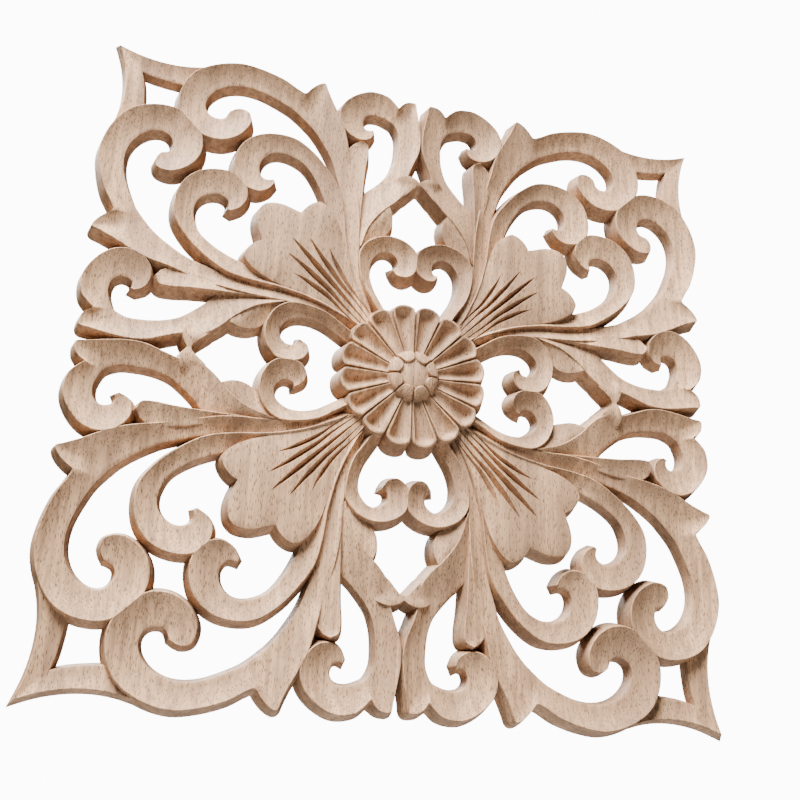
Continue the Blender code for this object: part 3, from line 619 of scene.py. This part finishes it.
def flower(depth, collection):
    """The flower lofted outward in rings from the middle of the bud to the petal tips."""
    middle = np.linspace(-1 + RIM_SHARE, 1 - RIM_SHARE, PETAL_ANGLES)
    shares = np.concatenate([[-1.0, -1.0 + RIM_SHARE * 0.5], middle, [1.0 - RIM_SHARE * 0.5]])
    places = [petal + 0.5 + share / 2 for petal in range(PETALS) for share in shares]
    angles = np.array([place * 2 * np.pi / PETALS for place in places])
    across = np.tile(shares, PETALS)
    points = [(0.0, 0.0, bud_height(0.0, 0.0))]
    for ring in BUD_RINGS * BUD_RADIUS:
        for angle in angles:
            points.append((ring * np.cos(angle), ring * np.sin(angle), bud_height(ring, angle)))
    for share in PETAL_RINGS:
        for angle, side in zip(angles, across):
            outline = flower_outline(side)
            radius = BUD_RADIUS + (outline - BUD_RADIUS) * share
            height = flower_height(radius, side, outline) - ARRIS_DROP * (share == 1.0)
            points.append((radius * np.cos(angle), radius * np.sin(angle), height))
    count = len(angles)
    faces = [(0, 1 + k, 1 + (k + 1) % count) for k in range(count)]
    for ring in range(len(BUD_RINGS) + len(PETAL_RINGS) - 1):
        for k in range(count):
            a = 1 + ring * count + k
            b = 1 + ring * count + (k + 1) % count
            faces.append((a, a + count, b + count, b))
    loop = [len(points) - count + k for k in range(count)]
    return carved_solid("flower", points, faces, loop, depth, collection, radial_foot)


def cut(target, operand, operation):
    """Joins or cuts the target with one solid, or with every solid of a collection."""
    step = target.modifiers.new(operand.name, "BOOLEAN")
    step.operation = operation
    step.solver = "EXACT"
    if isinstance(operand, bpy.types.Collection):
        step.operand_type = "COLLECTION"
        step.collection = operand
    else:
        step.object = operand


def prism(name, corners, low, high, collection):
    """An upright prism over a plan outline."""
    mesh = bmesh.new()
    floor = mesh.faces.new([mesh.verts.new((x, y, low)) for x, y in corners])
    made = bmesh.ops.extrude_face_region(mesh, geom=[floor])["geom"]
    risen = [v for v in made if isinstance(v, bmesh.types.BMVert)]
    bmesh.ops.translate(mesh, vec=(0, 0, high - low), verts=risen)
    bmesh.ops.recalc_face_normals(mesh, faces=mesh.faces)
    return add_mesh(name, mesh, collection)


def applied(target):
    """The target's mesh with its modifiers worked in, which are then removed."""
    graph = bpy.context.evaluated_depsgraph_get()
    made = bpy.data.meshes.new_from_object(target.evaluated_get(graph))
    target.modifiers.clear()
    target.data = made
    mesh = bmesh.new()
    mesh.from_mesh(made)
    return mesh


def repeat_about_centre(target):
    """The eighth opened at its mirror planes, then mirrored at the diagonal and at both middle lines."""
    mesh = applied(target)
    planes = (lambda p: p.x, lambda p: p.y - p.x, lambda p: p.z)
    bmesh.ops.remove_doubles(mesh, verts=mesh.verts, dist=WELD)
    bmesh.ops.dissolve_degenerate(mesh, dist=WELD, edges=mesh.edges)
    bmesh.ops.triangulate(mesh, faces=mesh.faces)
    for v in mesh.verts:
        if abs(v.co.x) < WELD:
            v.co.x = 0.0
        if abs(v.co.y - v.co.x) < WELD:
            v.co.x = v.co.y = (v.co.x + v.co.y) / 2
    for plane in planes:
        shut = [f for f in mesh.faces if all(abs(plane(v.co)) < WELD for v in f.verts)]
        bmesh.ops.delete(mesh, geom=shut, context="FACES")
    across = Matrix.Rotation(np.pi / 4, 4, "Z")
    for plane, axis in ((across, "Y"), (Matrix(), "X"), (Matrix(), "Y")):
        whole = mesh.verts[:] + mesh.edges[:] + mesh.faces[:]
        bmesh.ops.mirror(mesh, geom=whole, matrix=plane, merge_dist=-1, axis=axis)
        bmesh.ops.remove_doubles(mesh, verts=mesh.verts, dist=WELD)
    close_underside(mesh)
    bmesh.ops.recalc_face_normals(mesh, faces=mesh.faces)
    mesh.to_mesh(target.data)
    mesh.free()


def close_underside(mesh):
    """Fills the flat underside, a region with many holes, between the feet of the walls."""
    edges = [e for e in mesh.edges if e.is_boundary]
    corners = list(dict.fromkeys(v for e in edges for v in e.verts))
    place = {v: k for k, v in enumerate(corners)}
    plan = [v.co.xy for v in corners]
    joined = delaunay_2d_cdt(plan, [[place[v] for v in e.verts] for e in edges], [], 0, TINY)
    starts = np.array([e.verts[0].co.xy for e in edges])
    ends = np.array([e.verts[1].co.xy for e in edges])
    for face in joined[2]:
        triangle = [corners[joined[3][k][0]] for k in face]
        middle = np.mean([v.co.xy for v in triangle], axis=0)
        if within(starts, ends, middle) and not mesh.faces.get(triangle):
            mesh.faces.new(triangle)


def carve_panel():
    """The whole fine panel: pieces of one eighth joined, grooved, trimmed to the eighth and mirrored."""
    carving = bpy.data.collections.new("carving")
    fluting = bpy.data.collections.new("fluting")
    helpers = bpy.data.collections.new("helpers")
    groups = (carving, fluting, helpers)
    for group in groups:
        bpy.context.scene.collection.children.link(group)
    scroll = scroll_heights(SCROLL_RIM, SCROLL_RIM, STEM_FOLD, ROOT_END)
    edged = scroll_heights(SCROLL_RIM, SCROLL_RIM, STEM_FOLD, ROOT_END, MEETING_LEAF_DIP)
    turned = scroll_heights(SCROLL_RIM, OUTER_ROOT_RIM, OUTER_ROOT_EDGE, TURN_END, SIDE_LEAF_DIP)
    ridged = scroll_heights(INNER_SCROLL_RIM, INNER_STEM_RIM, INNER_STEM_FOLD, ROOT_END)
    rising = ramp_heights(SIDE_LEAF_ROOT, SIDE_LEAF_TIP, SIDE_LEAF_FOLD, SIDE_LEAF_HOLLOW)
    corner = ramp_heights(BRACKET_RIM, CORNER_TIP, BRACKET_INNER_EDGE, BRACKET_INNER_EDGE)
    panel = ribbon("carved_wood", OUTER_SCROLL, turned, BELOW, bpy.context.scene.collection)
    pieces = (
        lambda d: ribbon("inner_scroll", INNER_SCROLL, ridged, d, carving),
        lambda d: ribbon("edge_scroll", EDGE_SCROLL, edged, d, carving),
        lambda d: ribbon("heart_scroll", HEART_SCROLL, scroll, d, carving),
        lambda d: ribbon("side_leaf", SIDE_LEAF, rising, d, carving),
        lambda d: ribbon("corner_bracket", CORNER_BRACKET, corner, d, carving, press=False),
        lambda d: leaf("palmette", PALMETTE, PALMETTE_TOP, d, carving, PALMETTE_CROWN),
        lambda d: leaf("meeting_leaf", MEETING_LEAF, LEAF_TOP, d, carving),
        lambda d: leaf("bract", BRACT, LEAF_TOP, d, carving),
    )
    for number, piece in enumerate(pieces, start=1):
        piece(BELOW + number * BELOW_STEP)
    rosette = flower(BELOW + (len(pieces) + 1) * BELOW_STEP, helpers)
    for number, places in enumerate(GROOVES, start=1):
        groove(f"groove_{number}", places, fluting)
    cut(panel, carving, "UNION")
    cut(panel, fluting, "DIFFERENCE")
    cut(panel, rosette, "UNION")
    cut(panel, prism("eighth", ((0, 0), (SIDE, SIDE), (0, SIDE)), 0, SIDE, helpers), "INTERSECT")
    repeat_about_centre(panel)
    vary_by_hand(panel.data)
    panel.data.transform(Matrix.Rotation(np.pi / 2, 4, "X"))
    panel.data.shade_smooth()
    panel.data.set_sharp_from_angle(angle=CREST_ANGLE)
    for group in groups:
        for piece in list(group.objects):
            bpy.data.objects.remove(piece, do_unlink=True)
        bpy.data.collections.remove(group)
    return panel


def vary_by_hand(data):
    """Small wandering of the cuts, so that the eight repeats aren't quite alike; the back stays flat."""
    noise.seed_set(WANDER_SEED)
    for v in data.vertices:
        drift = noise.noise_vector(Vector((v.co.x, v.co.y, 0)) * WANDER_SCALE)
        v.co.x += drift.x * WANDER
        v.co.y += drift.y * WANDER
        v.co.z *= 1 + drift.z * WANDER_HEIGHT


# Wood, stage, light and camera


def node(tree, kind, inputs=None, **settings):
    """A shader node with its settings and the values or links of its inputs."""
    made = tree.nodes.new(kind)
    for key, value in settings.items():
        setattr(made, key, value)
    for key, value in (inputs or {}).items():
        if isinstance(value, bpy.types.NodeSocket):
            tree.links.new(value, made.inputs[key])
        else:
            made.inputs[key].default_value = value
    return made


def stretched(tree, place, scale):
    """The place scaled along each axis."""
    return node(tree, "ShaderNodeMapping", {"Vector": place, "Scale": scale}).outputs["Vector"]


def faded(tree, value, low, high, start=0.0, end=1.0):
    """The value mapped smoothly from low..high to start..end."""
    inputs = {"Value": value, "From Min": low, "From Max": high, "To Min": start, "To Max": end}
    return node(tree, "ShaderNodeMapRange", inputs, interpolation_type="SMOOTHSTEP").outputs["Result"]


def calculated(tree, operation, *values):
    """The result of one sum on values or links."""
    return node(tree, "ShaderNodeMath", dict(enumerate(values)), operation=operation).outputs["Value"]


def mixed(tree, share, one, two, blend="MIX"):
    """Two colours mixed by a share; on this node they are inputs 6 and 7, and the colour is output 2."""
    made = node(tree, "ShaderNodeMix", {"Factor": share, 6: one, 7: two}, data_type="RGBA", blend_type=blend)
    return made.outputs[2]


def grain(tree, place, scale, detail, roughness=0.5):
    """Soft noise drawn out along the grain."""
    made = node(tree, "ShaderNodeTexNoise", {"Vector": stretched(tree, place, scale), "Scale": 1.0,
                                             "Detail": detail, "Roughness": roughness})
    return made.outputs["Fac"]


def pale_wood():
    """Bare carved hardwood: grain up the panel, soft bands, fine dark pores, and steep walls darkened for end
    grain and with painted shade.
    """
    material = bpy.data.materials.new("pale_wood")
    material.use_nodes = True
    tree = material.node_tree
    shader = tree.nodes["Principled BSDF"]
    place = node(tree, "ShaderNodeTexCoord").outputs["Object"]
    geometry = node(tree, "ShaderNodeNewGeometry")

    bands = grain(tree, place, BANDS, 3.0, 0.55)
    fibres = grain(tree, place, FIBRES, 2.0)
    streaks = grain(tree, place, STREAKS, 2.0)
    inputs = {"Vector": stretched(tree, place, PORES), "Scale": 1.0}
    cells = node(tree, "ShaderNodeTexVoronoi", inputs, feature="F1")
    kept = node(tree, "ShaderNodeSeparateColor", {"Color": cells.outputs["Color"]}).outputs["Red"]
    near = faded(tree, cells.outputs["Distance"], *PORE_REACH, 1.0, 0.0)
    pores = calculated(tree, "MULTIPLY", near, faded(tree, kept, *PORE_CHOICE))

    colour = mixed(tree, faded(tree, bands, *BAND_RANGE), WOOD_LIGHT, WOOD_WARM)
    colour = mixed(tree, faded(tree, streaks, *STREAK_RANGE, 0.0, STREAK_STRENGTH), colour, WOOD_DARK)
    colour = mixed(tree, faded(tree, fibres, *FIBRE_RANGE, 0.0, FIBRE_STRENGTH), colour, WOOD_DARK)
    colour = mixed(tree, calculated(tree, "MULTIPLY", pores, PORE_STRENGTH), colour, WOOD_PORE)
    # Steep walls and groove sides are multiplied towards a neutral brown by how far they face sideways:
    # partly end grain, partly painted shade standing in for the shade in cuts and recesses
    facing = node(tree, "ShaderNodeSeparateXYZ", {"Vector": geometry.outputs["True Normal"]})
    upright = calculated(tree, "ABSOLUTE", facing.outputs["Y"])
    wall = faded(tree, upright, *WALL_RANGE, END_GRAIN_AND_SHADE_STRENGTH, 0.0)
    colour = mixed(tree, wall, colour, END_GRAIN_AND_PAINTED_SHADE, "MULTIPLY")
    tree.links.new(colour, shader.inputs["Base Color"])
    shader.inputs["Roughness"].default_value = WOOD_ROUGHNESS
    shader.inputs["Specular IOR Level"].default_value = WOOD_SPECULAR

    relief = calculated(tree, "SUBTRACT", calculated(tree, "MULTIPLY", fibres, FIBRE_RELIEF), pores)
    bump = node(tree, "ShaderNodeBump", {"Strength": GRAIN_BUMP, "Distance": GRAIN_DEPTH, "Height": relief})
    tree.links.new(bump.outputs["Normal"], shader.inputs["Normal"])
    return material


def pale_stage():
    """A plain pale floor well below the panel, and a plain white surround."""
    floor_level = cad_box[0].z - FLOOR_DROP
    bpy.ops.mesh.primitive_plane_add(size=FLOOR_SIZE, location=(0, 0, floor_level))
    floor = bpy.context.object
    floor.name = "floor"
    material = bpy.data.materials.new("pale_floor")
    material.use_nodes = True
    shader = material.node_tree.nodes["Principled BSDF"]
    shader.inputs["Base Color"].default_value = FLOOR_COLOUR
    shader.inputs["Roughness"].default_value = FLOOR_ROUGHNESS
    floor.data.materials.append(material)

    world = bpy.data.worlds.new("surround")
    bpy.context.scene.world = world
    world.use_nodes = True
    tree = world.node_tree
    tree.nodes.clear()
    seen = node(tree, "ShaderNodeBackground", {"Color": SURROUND_COLOUR, "Strength": SURROUND_SEEN})
    lit = node(tree, "ShaderNodeBackground", {"Color": SURROUND_COLOUR, "Strength": SURROUND_LIGHT})
    camera_ray = node(tree, "ShaderNodeLightPath").outputs["Is Camera Ray"]
    both = node(tree, "ShaderNodeMixShader", {0: camera_ray, 1: lit.outputs[0], 2: seen.outputs[0]})
    node(tree, "ShaderNodeOutputWorld", {"Surface": both.outputs[0]})


def soft_light(name, place, size, spread, power):
    """A round soft light aimed at the middle of the panel."""
    data = bpy.data.lights.new(name, "AREA")
    data.shape = "DISK"
    data.size = size
    data.spread = np.radians(spread)
    data.energy = power
    lamp = bpy.data.objects.new(name, data)
    bpy.context.scene.collection.objects.link(lamp)
    lamp.location = place
    lamp.rotation_euler = (-Vector(place)).to_track_quat("-Z", "Y").to_euler()
    return lamp


def photo_camera():
    """A camera where the photograph was taken from."""
    data = bpy.data.cameras.new("camera")
    data.lens = CAMERA_LENS
    data.sensor_width = CAMERA_SENSOR
    data.clip_start = CAMERA_NEAR
    camera = bpy.data.objects.new("camera", data)
    bpy.context.scene.collection.objects.link(camera)
    ahead = Vector(CAMERA_AHEAD).normalized()
    right = ahead.cross(Vector(CAMERA_UP)).normalized()
    up = right.cross(ahead)
    turned = Matrix((right, up, -ahead)).transposed().to_4x4()
    camera.matrix_world = Matrix.Translation(CAMERA_PLACE) @ turned
    bpy.context.scene.camera = camera


photo_camera()
panel = carve_panel()
panel.data.materials.clear()
panel.data.materials.append(pale_wood())
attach(panel, "root")
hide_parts("carved_panel")
pale_stage()
for light in LIGHTS:
    soft_light(*light)
floor_light = soft_light(*FLOOR_LIGHT)
floor_light.rotation_euler = (0, 0, 0)
floor_light.visible_camera = False
